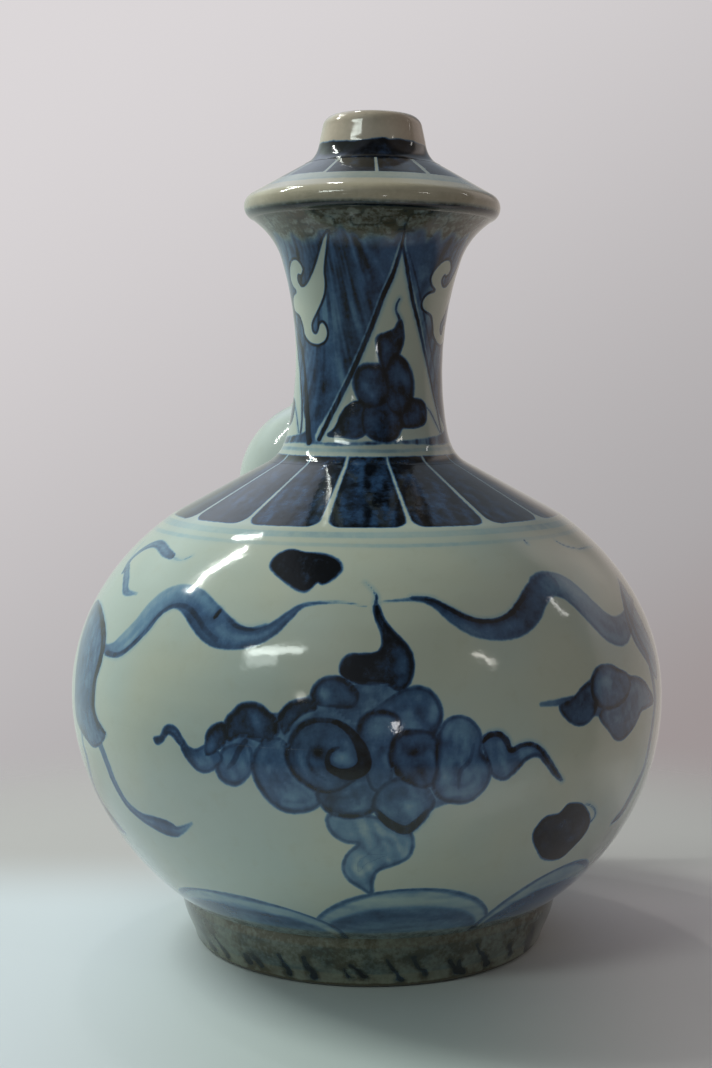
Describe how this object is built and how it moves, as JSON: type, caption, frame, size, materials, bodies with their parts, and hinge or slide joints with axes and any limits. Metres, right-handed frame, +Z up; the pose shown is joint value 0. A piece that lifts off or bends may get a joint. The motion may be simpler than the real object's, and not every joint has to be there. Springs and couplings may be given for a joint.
{
  "type": "kendi",
  "caption": "Glazed porcelain kendi: round body on a foot ring, waisted neck with a dished flange and mouth collar, and a bulbous pouring spout on the shoulder.",
  "frame": {"origin": "centre of the foot ring's recess, on the plane that the pot stands on", "axes": "+Z up along the turning axis, out of the mouth; +Y towards the spout"},
  "size_m": [0.144, 0.1601, 0.2],
  "materials": {
    "body_glaze": "gloss glaze over cobalt painting",
    "shoulder_glaze": "gloss glaze over cobalt painting",
    "neck_glaze": "gloss glaze over cobalt painting",
    "mouth_glaze": "gloss glaze over cobalt painting",
    "collar_glaze": "gloss glaze",
    "spout_glaze": "gloss glaze over cobalt painting",
    "foot_glaze": "gloss glaze with an unglazed standing edge",
    "luting_slip": "fired clay"
  },
  "bodies": {
    "root": {"foot_ring": "foot_glaze", "foot_slip": "luting_slip", "lower_body": "body_glaze", "belly_slip": "luting_slip", "upper_body": "shoulder_glaze", "neck_slip": "luting_slip", "neck": "neck_glaze", "flange_slip": "luting_slip", "mouth_flange": "mouth_glaze", "collar_slip": "luting_slip", "mouth_collar": "collar_glaze", "spout_slip": "luting_slip", "spout_bulb": "spout_glaze", "nozzle_slip": "luting_slip", "spout_nozzle": "spout_glaze"}
  },
  "joints": []
}
